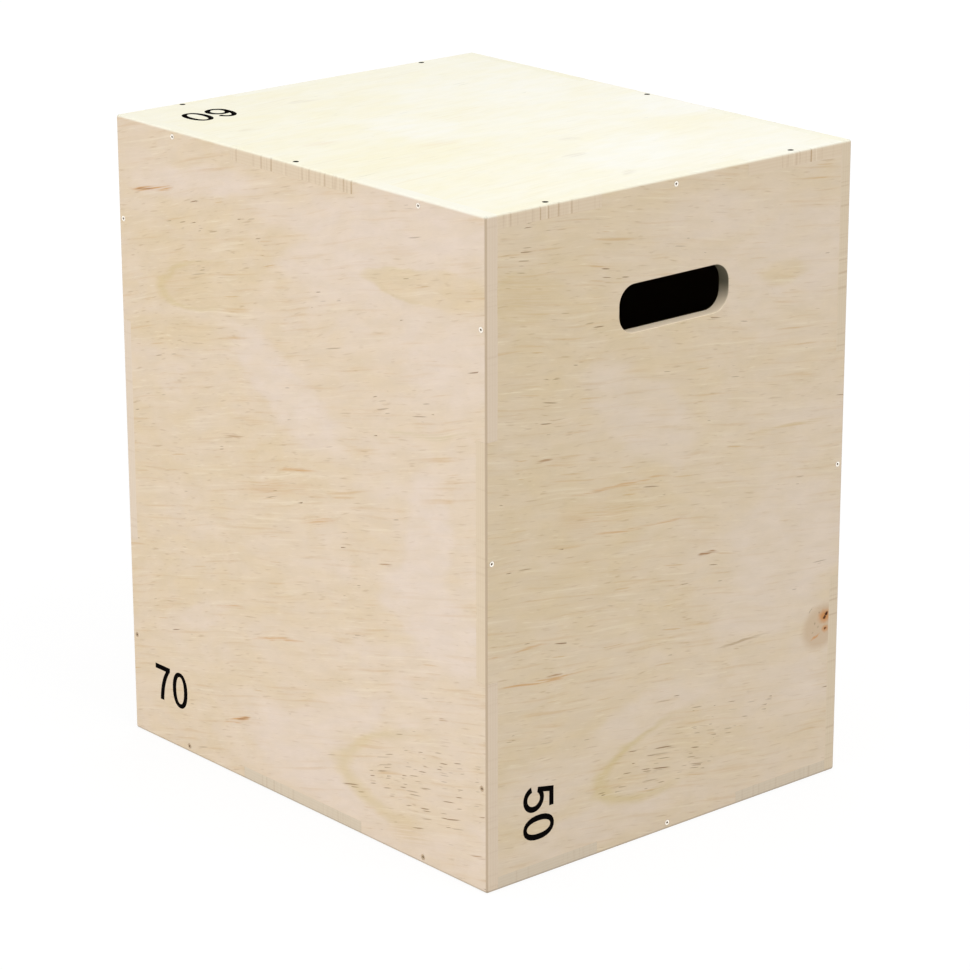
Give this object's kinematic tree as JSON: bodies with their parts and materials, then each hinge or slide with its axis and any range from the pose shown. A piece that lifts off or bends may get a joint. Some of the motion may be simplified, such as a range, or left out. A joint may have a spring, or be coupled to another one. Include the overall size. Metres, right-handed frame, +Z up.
{
  "type": "plyo box",
  "caption": "Finger-jointed plywood jumping box with rounded edges, countersunk screws and a hand hole in both ends, for jumping at a height set by the face it stands on.",
  "frame": {"origin": "middle of the 500 x 600 mm base", "axes": "+Z up along the 700 mm height, -Y out of the front end panel with its hand hole, +X to the right across the 500 mm width"},
  "size_m": [0.5, 0.6, 0.7],
  "materials": {
    "plywood": "sanded pine plywood, clear matt",
    "screw_zinc": "bright zinc plate",
    "number_ink": "black printed ink, matt"
  },
  "bodies": {
    "root": {"back_end_panel": "plywood", "bottom_panel": "plywood", "front_end_panel": "plywood", "left_side_panel": "plywood", "right_side_panel": "plywood", "top_panel": "plywood", "back_end_bottom_screw": "screw_zinc", "back_end_left_screw": "screw_zinc", "back_end_right_screw": "screw_zinc", "back_end_top_screw": "screw_zinc", "bottom_back_screws": "screw_zinc", "bottom_front_screws": "screw_zinc", "bottom_left_screw": "screw_zinc", "bottom_right_screw": "screw_zinc", "front_end_bottom_screw": "screw_zinc", "front_end_left_screw": "screw_zinc", "front_end_right_screw": "screw_zinc", "front_end_top_screw": "screw_zinc", "left_side_back_screws": "screw_zinc", "left_side_bottom_screws": "screw_zinc", "left_side_front_screws": "screw_zinc", "left_side_top_screws": "screw_zinc", "right_side_back_screws": "screw_zinc", "right_side_bottom_screws": "screw_zinc", "right_side_front_screws": "screw_zinc", "right_side_top_screws": "screw_zinc", "top_back_screws": "screw_zinc", "top_front_screws": "screw_zinc", "top_left_screw": "screw_zinc", "top_right_screw": "screw_zinc"}
  },
  "joints": []
}
